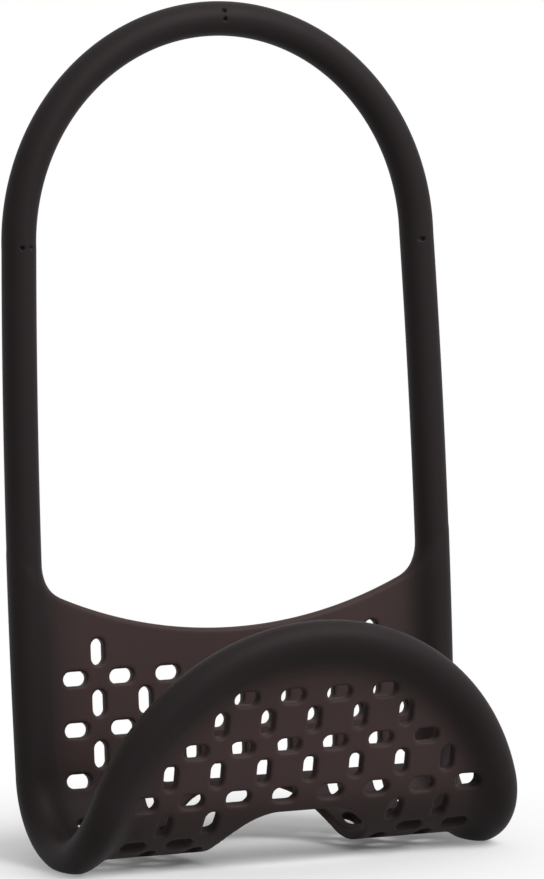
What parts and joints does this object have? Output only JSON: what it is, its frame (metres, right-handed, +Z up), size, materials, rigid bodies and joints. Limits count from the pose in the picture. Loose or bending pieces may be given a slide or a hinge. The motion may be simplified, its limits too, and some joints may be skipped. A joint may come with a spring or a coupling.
{
  "type": "sponge holder",
  "caption": "Soft perforated sling for a kitchen sponge, with a rolled rim and a drain opening, hung on a tall closed wire-cored loop that is bent by hand to hook over a tap.",
  "frame": {"origin": "on the floor under the feet, at the middle of the whole holder's outline from above", "axes": "+Z up, -Y towards the front panel, +X along the trough to the right seen from the front"},
  "size_m": [0.1106, 0.0622, 0.1892],
  "materials": {
    "elastomer": "matt soft-touch moulding with a faint sheen",
    "core_wire": "plain drawn wire"
  },
  "bodies": {
    "sling": {"front_panel": "elastomer", "back_panel": "elastomer", "left_trough_floor": "elastomer", "right_trough_floor": "elastomer", "front_rim": "elastomer", "left_foot": "elastomer", "right_foot": "elastomer", "left_leg_root": "elastomer", "right_leg_root": "elastomer", "left_core_hook": "core_wire", "right_core_hook": "core_wire", "left_neck_sleeve": "elastomer", "left_neck_core": "core_wire", "right_neck_sleeve": "elastomer", "right_neck_core": "core_wire"},
    "lower_loop": {"left_lower_leg": "elastomer", "left_lower_core": "core_wire", "right_lower_leg": "elastomer", "right_lower_core": "core_wire", "left_middle_sleeve": "elastomer", "left_middle_core": "core_wire", "right_middle_sleeve": "elastomer", "right_middle_core": "core_wire"},
    "upper_loop": {"left_upper_leg": "elastomer", "left_upper_core": "core_wire", "right_upper_leg": "elastomer", "right_upper_core": "core_wire", "left_shoulder_sleeve": "elastomer", "left_shoulder_core": "core_wire", "right_shoulder_sleeve": "elastomer", "right_shoulder_core": "core_wire"},
    "loop_top": {"loop_arch": "elastomer", "arch_core": "core_wire"}
  },
  "joints": [
    {"name": "neck_bend", "type": "hinge", "parent": "sling", "child": "lower_loop", "pos_m": [0, 0.01741, 0.07381], "axis": [1, 0, 0], "range_deg": [-45, 45], "deforming": ["left_neck_sleeve", "left_neck_core", "right_neck_sleeve", "right_neck_core"]},
    {"name": "middle_bend", "type": "hinge", "parent": "lower_loop", "child": "upper_loop", "pos_m": [0, 0.01976, 0.10071], "axis": [1, 0, 0], "range_deg": [-45, 45], "deforming": ["left_middle_sleeve", "left_middle_core", "right_middle_sleeve", "right_middle_core"]},
    {"name": "shoulder_bend", "type": "hinge", "parent": "upper_loop", "child": "loop_top", "pos_m": [0, 0.02211, 0.1276], "axis": [1, 0, 0], "range_deg": [-45, 45], "deforming": ["left_shoulder_sleeve", "left_shoulder_core", "right_shoulder_sleeve", "right_shoulder_core"]}
  ]
}
